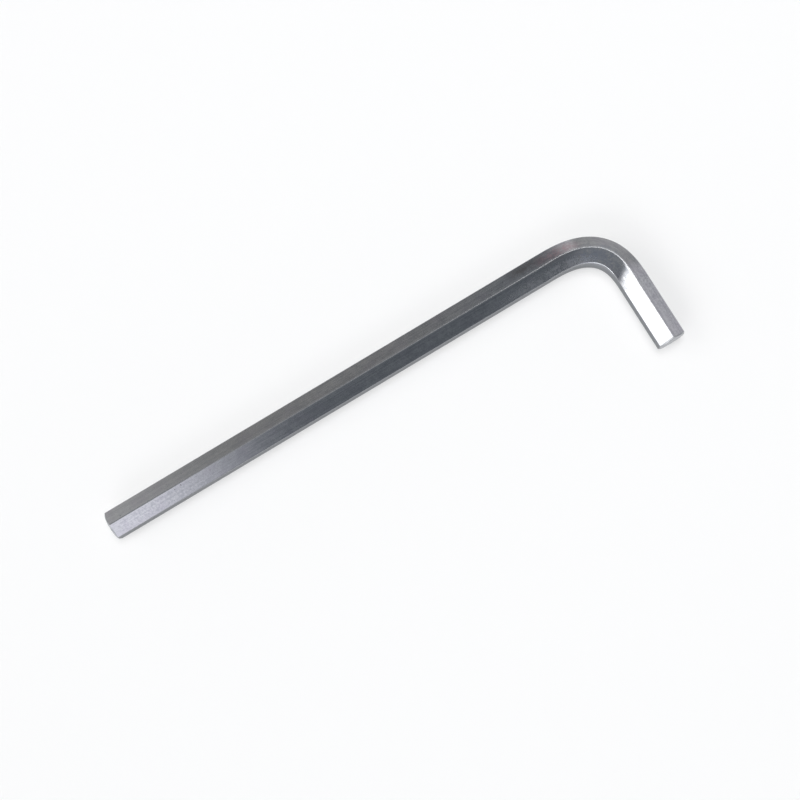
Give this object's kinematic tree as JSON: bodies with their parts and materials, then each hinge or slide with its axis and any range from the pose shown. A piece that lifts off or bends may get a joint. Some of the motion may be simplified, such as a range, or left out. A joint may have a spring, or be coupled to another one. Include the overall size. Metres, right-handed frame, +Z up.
{
  "type": "hex key",
  "caption": "L-shaped hexagonal steel key with one long and one short arm, an eased right-angle bend and bevelled driving tips.",
  "frame": {"origin": "centre of the key's bounding box in plan, on the surface that the key lies on", "axes": "+X along the long arm towards the bend, +Y away from the short arm, +Z up from the surface that the key lies on"},
  "size_m": [0.29, 0.071, 0.0159],
  "materials": {
    "plated_steel": "satin bright plating over drawn steel"
  },
  "bodies": {
    "root": {"hex_key": "plated_steel"}
  },
  "joints": []
}
